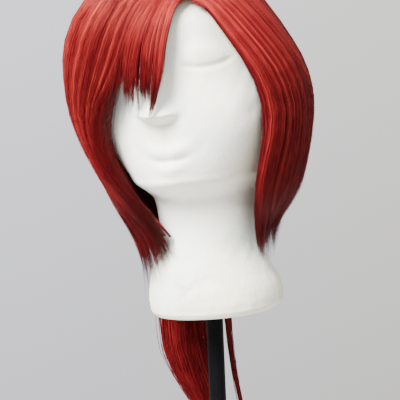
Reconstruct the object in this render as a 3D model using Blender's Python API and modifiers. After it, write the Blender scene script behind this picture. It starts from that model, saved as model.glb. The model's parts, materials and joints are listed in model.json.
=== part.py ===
"""A foam mannequin head that wears a long wig, on a small three-legged stand.

Everything is in metres, +Z up, with the floor at z = 0. Build with:
    blender --background --python part.py
"""

from math import atan2, cos, pi, radians, sin, tan, tau

import bmesh
import bpy
from mathutils import Quaternion, Vector

MM = 0.001
GAP = 0.4 * MM  # between two pieces that touch or fit into each other
HEAD_STEPS = 36  # points round the head, and round the cap that follows it
ROUND_STEPS = 20  # sides of a turned piece
SMOOTH_BELOW = radians(40)  # edges that turn less than this are shaded smooth

# Foam head, measured from the underside of its neck and from the column's axis.
HEAD_HEIGHT = 345 * MM
WIDEST_HEIGHT = 250 * MM  # above this the skull is a dome
SKULL_HALF_WIDTH = 79 * MM
FOREHEAD_REACH = 98 * MM
SKULL_BACK_REACH = 82 * MM
BASE_HALF_WIDTH = 62 * MM
BASE_HALF_DEPTH = 62 * MM
NECK_HALF_WIDTH = 44.5 * MM
BORE_RADIUS = 17.5 * MM
BORE_DEPTH = 118 * MM
CHIN_HEIGHT = 124 * MM
MOUTH_HEIGHT = 155 * MM
NOSE_HEIGHT = 188 * MM
EYE_HEIGHT = 236 * MM
NOSE_REACH = 15 * MM  # how far the nose stands out of the face
EYE_SPACING = 92 * MM
LEAN = radians(3)  # the foam sits a little askew on its mount
LEAN_TOWARDS = radians(202)  # its right side and slightly forward

# Wig.
CAP_OFFSET = 2 * MM  # from the foam to the cap's inner side
CAP_THICKNESS = 1.2 * MM
LAYER_GAP = 1.2 * MM  # from the cap to the hair that lies on it
CROWN_HAIR_THICKNESS = 12 * MM
CROWN_TO_LOCKS = 7 * MM  # from the crown hair's lower edge to the tops of the locks
HAIRLINE_HEIGHT = 292 * MM
EAR_TAB_DROP = 34 * MM
NAPE_HEIGHT = 172 * MM
BAND_HEIGHT = 14 * MM
TAIL_DROP = 150 * MM  # how far the long locks hang below the neck's underside

# Stand.
COLUMN_RADIUS = 8 * MM
COLUMN_WALL = 1.2 * MM
COLUMN_LENGTH = 560 * MM
NECK_UNDERSIDE = 590 * MM  # above the floor
MOUNT_LENGTH = 100 * MM
MOUNT_CLEARANCE = 0.6 * MM  # inside the bore, which leans with the head
MOUNT_WEB = 8 * MM
MOUNT_RAISE = 4 * MM  # the mount starts this far up inside the neck
HINGE_HEIGHT = 330 * MM
HINGE_RADIUS = 29 * MM
LEG_SPLAY = radians(30)
LEG_DIRECTIONS = [radians(90), radians(210), radians(330)]
UPPER_TUBE_RADIUS = 9 * MM
TUBE_WALL = 1 * MM
TUBE_CLEARANCE = 1 * MM  # between the upper tube's bore and the lower tube
LOWER_TUBE_RADIUS = UPPER_TUBE_RADIUS - TUBE_WALL - TUBE_CLEARANCE
UPPER_TUBE_LENGTH = 222 * MM
LOWER_TUBE_INSERTION = 160 * MM  # how far the lower tube reaches up inside the upper one
APEX_RADIUS = 17 * MM
APEX_HEIGHT = 62 * MM
APEX_RISE = 34 * MM  # how far the apex reaches above the hinges
PIN_RADIUS = 2.5 * MM
KNUCKLE_WIDTH = 13 * MM
KNUCKLE_DEPTH = 16 * MM
KNUCKLE_HEEL = 14 * MM  # above the hinge; its inner corner stops the leg when it is open
CHEEK_THICKNESS = 4.5 * MM
CLAMP_SCREW_RADIUS = 3 * MM
KNOB_RADIUS = 15 * MM
KNOB_LENGTH = 14 * MM
FOOT_RADIUS = 10.5 * MM
FOOT_LENGTH = 30 * MM

FRONT = 1.5 * pi  # angles round the column run from +X, the wearer's left, through +Y, the back


# ---------------------------------------------------------------- scene and mesh helpers

def clear_scene():
    for obj in list(bpy.data.objects):
        bpy.data.objects.remove(obj)


def new_collection(name):
    made = bpy.data.collections.new(name)
    bpy.context.scene.collection.children.link(made)
    return made


def material(name, colour, roughness, metallic=0.0):
    made = bpy.data.materials.new(name)
    made.use_nodes = True
    shader = made.node_tree.nodes["Principled BSDF"]
    shader.inputs["Base Color"].default_value = (*colour, 1.0)
    shader.inputs["Roughness"].default_value = roughness
    shader.inputs["Metallic"].default_value = metallic
    return made


def place(name, mesh, mat=None, parent=None, at=(0, 0, 0), turn=(0, 0, 0)):
    obj = bpy.data.objects.new(name, mesh)
    (PARTS if mat else CUTTERS).objects.link(obj)
    obj.parent = parent
    obj.location = at
    obj.rotation_euler = turn
    if mat:
        mesh.materials.append(mat)
    else:
        obj.hide_render = True
        obj.display_type = "WIRE"
    return obj


def empty(name, at, turn=(0, 0, 0), parent=None):
    made = bpy.data.objects.new(name, None)
    PARTS.objects.link(made)
    made.location = at
    made.rotation_euler = turn
    made.parent = parent
    return made


def finished(name, shape):
    """The mesh of a shape: faces outward, shaded smooth except across its corners."""
    bmesh.ops.recalc_face_normals(shape, faces=shape.faces)
    mesh = bpy.data.meshes.new(name)
    shape.to_mesh(mesh)
    shape.free()
    mesh.shade_smooth()
    mesh.set_sharp_from_angle(angle=SMOOTH_BELOW)
    return mesh


def turned(name, profile, mat=None, closed=False, **where):
    """A turned piece. The profile is (radius, height) points, down the outer side; closed for a ring."""
    shape = bmesh.new()
    points = [shape.verts.new((radius, 0, height)) for radius, height in profile]
    ends = points[1:] + points[:1] if closed else points[1:]
    edges = [shape.edges.new(pair) for pair in zip(points, ends)]
    bmesh.ops.spin(shape, geom=points + edges, axis=(0, 0, 1), cent=(0, 0, 0), dvec=(0, 0, 0),
                   angle=tau, steps=ROUND_STEPS)
    bmesh.ops.remove_doubles(shape, verts=shape.verts, dist=1e-6)
    return place(name, finished(name, shape), mat, **where)


def rod(name, radius, top, bottom, mat=None, chamfer=0.0, **where):
    edge = [(radius, top), (radius, bottom)]
    if chamfer:
        edge = [(radius - chamfer, top), (radius, top - chamfer),
                (radius, bottom + chamfer), (radius - chamfer, bottom)]
    return turned(name, [(0, top), *edge, (0, bottom)], mat, **where)


def tube(name, outer, inner, top, bottom, mat=None, **where):
    ring = [(outer, top), (outer, bottom), (inner, bottom), (inner, top)]
    return turned(name, ring, mat, closed=True, **where)


def block(name, size, centre, mat=None, bevel=0.0, **where):
    """A box whose centre is given in its parent's frame."""
    shape = bmesh.new()
    bmesh.ops.create_cube(shape, size=1.0)
    bmesh.ops.scale(shape, vec=size, verts=shape.verts)
    bmesh.ops.translate(shape, vec=centre, verts=shape.verts)
    obj = place(name, finished(name, shape), mat, **where)
    if bevel:
        edge = obj.modifiers.new("Rounded", "BEVEL")
        edge.width = bevel
        edge.segments = 2
    return obj


def boolean(obj, other, operation="DIFFERENCE"):
    step = obj.modifiers.new(operation.title(), "BOOLEAN")
    step.operation = operation
    step.object = other
    return obj


def loft(name, rings):
    """A closed solid through rings of the same number of points, with flat ends."""
    shape = bmesh.new()
    rings = [[shape.verts.new(point) for point in ring] for ring in rings]
    for lower, upper in zip(rings, rings[1:]):
        for i in range(len(lower)):
            shape.faces.new((lower[i - 1], lower[i], upper[i], upper[i - 1]))
    shape.faces.new(reversed(rings[0]))
    shape.faces.new(rings[-1])
    return finished(name, shape)


# ---------------------------------------------------------------- head and hair surfaces

def ease(t):
    t = min(1.0, max(0.0, t))
    return t * t * (3 - 2 * t)


def along(stations, height):
    """The values between the two stations on either side of this height, joined smoothly."""
    if height <= stations[0][0]:
        return stations[0][1:]
    for low, high in zip(stations, stations[1:]):
        if height <= high[0]:
            t = (height - low[0]) / (high[0] - low[0])
            return tuple(a + (b - a) * t for a, b in zip(low[1:], high[1:]))
    return stations[-1][1:]


def oval(angle, right, left, front, back, fullness=2.2):
    """The radius at this angle of an oval with its own reach on each side."""
    x_reach = left if cos(angle) > 0 else right
    y_reach = back if sin(angle) > 0 else front
    x_share = abs(cos(angle)) / x_reach
    y_share = abs(sin(angle)) / y_reach
    return (x_share ** fullness + y_share ** fullness) ** (-1 / fullness)


# Height above the neck's underside, half width, reach of the front, reach of the back.
HEAD_STATIONS = [
    (0, BASE_HALF_WIDTH - 7 * MM, BASE_HALF_DEPTH - 7 * MM, BASE_HALF_DEPTH - 7 * MM),
    (3 * MM, BASE_HALF_WIDTH - 2 * MM, BASE_HALF_DEPTH - 2 * MM, BASE_HALF_DEPTH - 2 * MM),
    (9 * MM, BASE_HALF_WIDTH, BASE_HALF_DEPTH, BASE_HALF_DEPTH),
    (20 * MM, BASE_HALF_WIDTH, BASE_HALF_DEPTH, BASE_HALF_DEPTH - 1 * MM),
    (38 * MM, BASE_HALF_WIDTH - 8 * MM, BASE_HALF_DEPTH - 4 * MM, BASE_HALF_DEPTH - 10 * MM),
    (58 * MM, NECK_HALF_WIDTH + 1 * MM, 52 * MM, 42 * MM),
    (78 * MM, NECK_HALF_WIDTH, 52 * MM, 37 * MM),
    (94 * MM, NECK_HALF_WIDTH + 1 * MM, 56 * MM, 36 * MM),
    (108 * MM, NECK_HALF_WIDTH + 2 * MM, 68 * MM, 37 * MM),
    (CHIN_HEIGHT, 55 * MM, 84 * MM, 42 * MM),
    (138 * MM, 63 * MM, 88 * MM, 47 * MM),
    (MOUTH_HEIGHT, 71 * MM, 88 * MM, 54 * MM),
    (172 * MM, 76 * MM, 90 * MM, 62 * MM),
    (NOSE_HEIGHT, SKULL_HALF_WIDTH - 1 * MM, 93 * MM, 69 * MM),
    (210 * MM, SKULL_HALF_WIDTH, 94 * MM, 75 * MM),
    (EYE_HEIGHT, SKULL_HALF_WIDTH, 96 * MM, 80 * MM),
    (WIDEST_HEIGHT, SKULL_HALF_WIDTH, FOREHEAD_REACH, SKULL_BACK_REACH),
]


def skull_reaches(height):
    """Half width, front reach and back reach of the head at a height above its underside."""
    if height <= WIDEST_HEIGHT:
        return along(HEAD_STATIONS, height)
    rise = (height - WIDEST_HEIGHT) / (HEAD_HEIGHT - WIDEST_HEIGHT)
    share = (1 - min(rise, 1.0) ** 2.3) ** (1 / 2.3)
    return SKULL_HALF_WIDTH * share, FOREHEAD_REACH * share, SKULL_BACK_REACH * share


def bump(angle, height, side, level, width, tall):
    """1 at a place on the face and 0 away from it. side is how far it is to the wearer's left."""
    across = FOREHEAD_REACH * sin(angle - FRONT)
    if sin(angle) > 0:
        return 0.0
    return 2.718281828 ** (-((across - side) / width) ** 2 - ((height - level) / tall) ** 2)


def face_relief(angle, height):
    """How far the face stands out from the plain head."""
    nose = NOSE_REACH * bump(angle, height, 0, NOSE_HEIGHT + 6 * MM, 11 * MM, 13 * MM)
    bridge = 6 * MM * bump(angle, height, 0, NOSE_HEIGHT + 30 * MM, 8 * MM, 22 * MM)
    lips = 4 * MM * bump(angle, height, 0, MOUTH_HEIGHT, 20 * MM, 10 * MM)
    chin = 4 * MM * bump(angle, height, 0, CHIN_HEIGHT + 6 * MM, 16 * MM, 12 * MM)
    sockets = sum(-6 * MM * bump(angle, height, side, EYE_HEIGHT - 4 * MM, 17 * MM, 15 * MM)
                  for side in (-EYE_SPACING / 2, EYE_SPACING / 2))
    return nose + bridge + lips + chin + sockets


def head_radius(angle, height):
    width, front, back = skull_reaches(height)
    return oval(angle, width, width, front, back) + face_relief(angle, height)


def dome(angle, fall, offset):
    """A point this far outside the skull. fall runs from 0 at the top to 1 at the widest level."""
    tilt = (1 - fall) * pi / 2
    rise = (HEAD_HEIGHT - WIDEST_HEIGHT + offset) * sin(tilt) ** (2 / 2.3)
    width = (SKULL_HALF_WIDTH + offset) * cos(tilt) ** (2 / 2.3)
    front = (FOREHEAD_REACH + offset) * cos(tilt) ** (2 / 2.3)
    back = (SKULL_BACK_REACH + offset) * cos(tilt) ** (2 / 2.3)
    radius = oval(angle, width, width, front, back)
    return Vector((radius * cos(angle), radius * sin(angle), WIDEST_HEIGHT + rise))


def fall_at(height, offset):
    """The fall at which the dome this far outside the skull reaches a height."""
    rise = (height - WIDEST_HEIGHT) / (HEAD_HEIGHT - WIDEST_HEIGHT + offset)
    return 1 - 2 / pi * atan2(rise ** 1.15, (1 - rise ** 2.3) ** 0.5)


def foam_head(mat):
    """The head as one loft of ovals with a plain face, and the bore that takes the stand's mount."""
    side_steps, dome_steps = HEAD_STEPS, 12
    heights = sorted({s[0] for s in HEAD_STATIONS} |
                     {WIDEST_HEIGHT * k / 20 for k in range(9, 20)})
    rings = []
    for height in heights:
        ring = []
        for i in range(side_steps):
            angle = tau * i / side_steps
            radius = head_radius(angle, height)
            ring.append((radius * cos(angle), radius * sin(angle), height))
        rings.append(ring)
    for k in range(1, dome_steps):
        fall = 1 - k / dome_steps
        rings.append([dome(tau * i / side_steps, fall, 0) for i in range(side_steps)])
    head = place("foam_head", loft("foam_head", rings), mat, parent=HEAD_FRAME)
    cutter = rod("neck_bore", BORE_RADIUS, BORE_DEPTH, -5 * MM, parent=HEAD_FRAME)
    return boolean(head, cutter)


# ---------------------------------------------------------------- wig

def hair_reaches(right, left, front, back):
    """The reach of the hair's outside on each side, from millimetres beyond the skull's own reach."""
    return (SKULL_HALF_WIDTH + right * MM, SKULL_HALF_WIDTH + left * MM,
            FOREHEAD_REACH + front * MM, SKULL_BACK_REACH + back * MM)


# Height above the neck's underside, then the reaches of the hair's outside.
HAIR_STATIONS = [
    (-TAIL_DROP, *hair_reaches(-35, -29, -48, -24)),
    (-90 * MM, *hair_reaches(-19, -19, -38, -10)),
    (0, *hair_reaches(-9, -9, -26, 2)),
    (60 * MM, *hair_reaches(-6, -6, -24, 8)),
    (90 * MM, *hair_reaches(-1, -2, -18, 15)),
    (119 * MM, *hair_reaches(8, 8, -6, 22)),
    (147 * MM, *hair_reaches(27, 18, 4, 28)),
    (175 * MM, *hair_reaches(36, 30, 10, 31)),
    (203 * MM, *hair_reaches(39, 28, 13, 32)),
    (231 * MM, *hair_reaches(34, 20, 15, 31)),
    (258 * MM, *hair_reaches(26, 11, 13, 26)),
    (HAIRLINE_HEIGHT, *hair_reaches(11, -2, 7, 13)),
]
HAIR_DEPTH = 16 * MM
HAIR_OFFSET = CAP_OFFSET + CAP_THICKNESS + LAYER_GAP


def hair_outside(angle, height):
    return oval(angle, *along(HAIR_STATIONS, height))


def hair_inside(angle, height):
    """The hair's inner side: a lock's depth inside its outside, and clear of the head."""
    depth = HAIR_DEPTH * (0.55 + 0.45 * ease((height + TAIL_DROP) / (2 * TAIL_DROP)))
    clear = head_radius(angle, max(height, 0)) + HAIR_OFFSET if height > -4 * MM else 0.0
    return max(hair_outside(angle, height) - depth, clear + 1.5 * MM)


def shell(name, corners, mat, angle_steps, height_steps):
    """A closed curved slab. corners(u, v) gives the inner and the outer point at u across, v down."""
    rings = []
    for k in range(height_steps + 1):
        v = k / height_steps
        pairs = [corners(i / angle_steps, v) for i in range(angle_steps + 1)]
        rings.append([p[1] for p in pairs] + [p[0] for p in reversed(pairs)])
    return place(name, loft(name, rings), mat, parent=HEAD_FRAME)


def dome_shell(name, offset, thickness, lowest, mat):
    """A cap on the skull, open underneath, whose rim is at lowest(angle)."""
    steps, falls = HEAD_STEPS, 13
    shape = bmesh.new()
    layers = []
    for far in (offset + thickness, offset):
        rings = []
        for k in range(1, falls + 1):
            ring = []
            for i in range(steps):
                angle = tau * i / steps
                bottom = lowest(angle)
                if bottom >= WIDEST_HEIGHT:
                    point = dome(angle, fall_at(bottom, far) * k / falls, far)
                else:
                    full = 1 + (WIDEST_HEIGHT - bottom) / SKULL_BACK_REACH
                    fall = full * k / falls
                    point = dome(angle, min(fall, 1), far)
                    if fall > 1:
                        height = WIDEST_HEIGHT - (fall - 1) * SKULL_BACK_REACH
                        reach = head_radius(angle, height) + far
                        point = Vector((reach * cos(angle), reach * sin(angle), height))
                ring.append(shape.verts.new(point))
            rings.append(ring)
        top = shape.verts.new((0, 0, HEAD_HEIGHT + far))
        layers.append((top, rings))
    for top, rings in layers:
        for i in range(steps):
            j = (i + 1) % steps
            shape.faces.new((top, rings[0][i], rings[0][j]))
            for upper, lower in zip(rings, rings[1:]):
                shape.faces.new((upper[i], lower[i], lower[j], upper[j]))
    for i in range(steps):
        j = (i + 1) % steps
        outer, inner = layers[0][1][-1], layers[1][1][-1]
        shape.faces.new((outer[i], inner[i], inner[j], outer[j]))
    return place(name, finished(name, shape), mat, parent=HEAD_FRAME)


def cap_rim(angle):
    """The height of the wig cap's edge: the hairline in front, over the ears, low at the nape."""
    frontness = max(0.0, -sin(angle)) ** 0.6
    backness = max(0.0, sin(angle)) ** 0.8
    side = WIDEST_HEIGHT - 4 * MM
    return side + (HAIRLINE_HEIGHT - side) * frontness + (NAPE_HEIGHT + BAND_HEIGHT - side) * backness


def crown_rim(angle):
    """The height down to which the crown's hair lies on the cap; the locks hang from there."""
    return max(cap_rim(angle), WIDEST_HEIGHT + 6 * MM) + 1 * MM


def band(name, start, end, top, bottom, offset, thickness, mat, angle_steps=6, height_steps=2):
    """A strip that lies on the head between two angles and between two heights."""
    def corners(u, v):
        angle = start + (end - start) * u
        height = top + (bottom - top) * v
        radius = head_radius(angle, height) + offset
        ray = Vector((cos(angle), sin(angle), 0))
        up = Vector((0, 0, height))
        return ray * radius + up, ray * (radius + thickness) + up
    return shell(name, corners, mat, angle_steps, height_steps)


def lock(name, start, end, bottom, mat, angle_steps=5, height_steps=7, taper=0.0, top=None):
    """A mass of hanging hair between two angles. bottom(u) gives its lower edge across its width."""
    def corners(u, v):
        low = bottom(u)
        high = top or crown_rim(start + (end - start) * u) - CROWN_TO_LOCKS
        height = high + (low - high) * v
        middle = (start + end) / 2
        spread = 1 - taper * v
        angle = middle + (start + (end - start) * u - middle) * spread
        ray = Vector((cos(angle), sin(angle), 0))
        up = Vector((0, 0, height))
        return ray * hair_inside(angle, height) + up, ray * hair_outside(angle, height) + up
    return shell(name, corners, mat, angle_steps, height_steps)


def wig(net, fabric, hair):
    dome_shell("wig_cap", CAP_OFFSET, CAP_THICKNESS, cap_rim, net)
    dome_shell("crown_hair", HAIR_OFFSET, CROWN_HAIR_THICKNESS, crown_rim, hair)
    tab_top = WIDEST_HEIGHT - 4 * MM - 2 * GAP
    for side, middle in (("right", pi), ("left", 0.0)):
        tab = middle + (radians(8) if side == "right" else radians(-8))
        band(f"ear_tab_{side}", tab - radians(7), tab + radians(7), tab_top - 6 * MM,
             tab_top - EAR_TAB_DROP, CAP_OFFSET, CAP_THICKNESS, fabric, 4, 2)
        strap = pi / 2 + (radians(28) if side == "right" else radians(-28))
        band(f"adjuster_strap_{side}", strap - radians(9), strap + radians(9),
             NAPE_HEIGHT - BAND_HEIGHT - GAP, NAPE_HEIGHT - BAND_HEIGHT - 8 * MM,
             CAP_OFFSET, CAP_THICKNESS, fabric, 3, 1)
    band("nape_band", pi / 2 - radians(38), pi / 2 + radians(38), NAPE_HEIGHT - GAP,
         NAPE_HEIGHT - BAND_HEIGHT, CAP_OFFSET, CAP_THICKNESS, fabric, 8, 1)

    split = radians(0.45)  # the angle left between two neighbouring masses of hair
    lock("fringe_center", FRONT - radians(32) + split, FRONT + radians(12),
         lambda u: 184 * MM + 50 * MM * abs(u - 0.6), hair, 6, 6, taper=0.3)
    lock("fringe_right", FRONT - radians(66) + split, FRONT - radians(32) - split,
         lambda u: 186 * MM + 8 * MM * u, hair)
    lock("fringe_left", FRONT + radians(34), FRONT + radians(62) - split,
         lambda u: 214 * MM - 54 * MM * u, hair)
    lock("side_hair_right", pi - radians(22) + split, pi + radians(24) - split,
         lambda u: 68 * MM + 32 * MM * u ** 2, hair, 6, 9)
    lock("side_hair_left", FRONT + radians(62) + split, tau + radians(14) - split,
         lambda u: 128 * MM - 46 * MM * u, hair, 6, 9)
    lock("back_hair_left", radians(14) + split, pi / 2 - split,
         lambda u: 84 * MM - 8 * MM * u, hair, 7, 9)
    lock("back_hair_right", pi / 2 + split, pi - radians(22) - split,
         lambda u: 78 * MM - 10 * MM * u, hair, 7, 9)
    tail_top = 60 * MM
    lock("tail_hair_inner", radians(98), radians(130) - split, lambda u: -TAIL_DROP, hair,
         4, 9, 0.3, tail_top)
    lock("tail_hair_outer", radians(130) + split, radians(168), lambda u: -TAIL_DROP * 0.8, hair,
         4, 9, 0.3, tail_top)


# ---------------------------------------------------------------- stand

def column(black, steel, plastic):
    top = NECK_UNDERSIDE + MOUNT_RAISE + MOUNT_LENGTH - MOUNT_WEB - GAP
    bottom = top - COLUMN_LENGTH
    inner = COLUMN_RADIUS - COLUMN_WALL
    tube("column_tube", COLUMN_RADIUS, inner, top, bottom, black, parent=STAND)

    plug = inner - GAP
    plug_length = 26 * MM
    screw_radius = 2.5 * MM
    tube("column_top_plug", plug, screw_radius + GAP, top - GAP, top - plug_length, plastic,
         parent=STAND)
    foot_flange = 3 * MM
    cap_radius = COLUMN_RADIUS + 1.5 * MM
    turned("column_bottom_cap", [
        (0, bottom + 16 * MM), (plug, bottom + 16 * MM), (plug, bottom - GAP),
        (cap_radius, bottom - GAP), (cap_radius, bottom - foot_flange),
        (0, bottom - foot_flange)], plastic, parent=STAND)

    mount_bottom = NECK_UNDERSIDE + MOUNT_RAISE
    mount_top = mount_bottom + MOUNT_LENGTH
    base_radius = BORE_RADIUS - MOUNT_RAISE * tan(LEAN) - MOUNT_CLEARANCE
    tip_radius = BORE_RADIUS - (MOUNT_RAISE + MOUNT_LENGTH) * tan(LEAN) - MOUNT_CLEARANCE
    socket = COLUMN_RADIUS + GAP
    turned("head_mount", [
        (tip_radius - 2 * MM, mount_top), (tip_radius, mount_top - 2 * MM),
        (base_radius, mount_bottom + 2 * MM), (base_radius - 1 * MM, mount_bottom),
        (socket, mount_bottom), (socket, mount_top - MOUNT_WEB),
        (screw_radius + GAP, mount_top - MOUNT_WEB), (screw_radius + GAP, mount_top)],
        plastic, closed=True, parent=STAND)
    screw_head = 5 * MM
    seat = mount_top + GAP
    crown = seat + 3 * MM
    turned("mount_screw", [
        (0, crown), (screw_head - 1 * MM, crown), (screw_head, crown - 1 * MM), (screw_head, seat),
        (screw_radius, seat), (screw_radius, top - plug_length + 3 * MM),
        (0, top - plug_length + 3 * MM)], steel, parent=STAND)


def apex(plastic, bush_material, steel, rubber):
    """The casting that the three legs hinge on, with the bush and clamp that hold the column."""
    top = HINGE_HEIGHT + APEX_RISE
    bottom = top - APEX_HEIGHT
    chamfer = 2.5 * MM
    bush_outer = COLUMN_RADIUS + GAP + 2 * MM
    bore = bush_outer + GAP
    casting = turned("apex_casting", [
        (APEX_RADIUS - chamfer, top), (APEX_RADIUS, top - chamfer),
        (APEX_RADIUS, bottom + chamfer), (APEX_RADIUS - chamfer, bottom), (bore, bottom), (bore, top)],
        plastic, closed=True, parent=STAND)
    tube("column_bush", bush_outer, COLUMN_RADIUS + GAP, top - 1 * MM, bottom + 1 * MM,
         bush_material, parent=STAND)
    clamp_at = (0, 0, HINGE_HEIGHT + APEX_RISE - 15 * MM)
    towards_front = (pi / 2, 0, 0)  # local +Z points to the front
    for name, target in (("clamp_hole", casting), ("bush_hole", bpy.data.objects["column_bush"])):
        boolean(target, rod(name, CLAMP_SCREW_RADIUS + GAP, 2 * APEX_RADIUS, COLUMN_RADIUS / 2,
                            parent=STAND, at=clamp_at, turn=towards_front))
    cheek_reach = HINGE_RADIUS + 7 * MM
    cheek_height = 18 * MM
    slot = KNUCKLE_WIDTH + 2 * GAP
    lug_width = slot + 2 * CHEEK_THICKNESS
    lug_start = bore + 1 * MM
    heel_reach = KNUCKLE_HEEL * sin(LEG_SPLAY) + KNUCKLE_DEPTH / 2 * cos(LEG_SPLAY)
    slot_start = HINGE_RADIUS - heel_reach - GAP
    lugs = []
    for k, direction in enumerate(LEG_DIRECTIONS, 1):
        turn = (0, 0, direction)
        lug = block(f"lug_{k}", (cheek_reach - lug_start, lug_width, cheek_height),
                    ((cheek_reach + lug_start) / 2, 0, HINGE_HEIGHT), bevel=2 * MM,
                    parent=STAND, turn=turn)
        boolean(casting, lug, "UNION")
        lugs.append(block(f"slot_{k}", (2 * cheek_reach, slot, 2 * cheek_height),
                          (slot_start + cheek_reach, 0, HINGE_HEIGHT), parent=STAND, turn=turn))
    for cutter in lugs:
        boolean(casting, cutter)
    pin_length = lug_width + 2 * MM
    for k, direction in enumerate(LEG_DIRECTIONS, 1):
        at = (HINGE_RADIUS * cos(direction), HINGE_RADIUS * sin(direction), HINGE_HEIGHT)
        turn = (pi / 2, 0, direction)
        boolean(casting, rod(f"pin_hole_{k}", PIN_RADIUS + GAP, lug_width, -lug_width,
                             parent=STAND, at=at, turn=turn))
        half = pin_length / 2
        head, head_length = PIN_RADIUS + 2 * MM, 2.2 * MM
        turned(f"leg_pivot_pin_{k}", [
            (0, half + head_length), (head - 1 * MM, half + head_length),
            (head, half + head_length - 1 * MM), (head, half - 1 * MM + GAP),
            (PIN_RADIUS, half - 1 * MM + GAP), (PIN_RADIUS, -half), (0, -half)],
            steel, parent=STAND, at=at, turn=turn)
    screw_start = COLUMN_RADIUS + GAP
    knob_start = APEX_RADIUS + 5 * MM
    screw_end = knob_start + KNOB_LENGTH - 4 * MM
    rod("clamp_screw", CLAMP_SCREW_RADIUS, screw_end, screw_start, steel,
        parent=STAND, at=clamp_at, turn=towards_front)
    socket = CLAMP_SCREW_RADIUS + GAP
    knob = turned("clamp_knob", [
        (0, knob_start + KNOB_LENGTH), (KNOB_RADIUS - 2 * MM, knob_start + KNOB_LENGTH),
        (KNOB_RADIUS, knob_start + KNOB_LENGTH - 2 * MM), (KNOB_RADIUS, knob_start + 2 * MM),
        (6 * MM, knob_start), (socket, knob_start), (socket, screw_end + GAP),
        (0, screw_end + GAP)], rubber, parent=STAND, at=clamp_at, turn=towards_front)
    flutes = 6
    for i in range(flutes):
        around = tau * (i + 0.5) / flutes
        reach = KNOB_RADIUS + 3.5 * MM
        flute_at = (reach * cos(around), 0, clamp_at[2] + reach * sin(around))
        boolean(knob, rod(f"flute_{i}", 5.5 * MM, knob_start + 2 * KNOB_LENGTH, knob_start - 2 * MM,
                          parent=STAND, at=flute_at, turn=towards_front))


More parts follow.
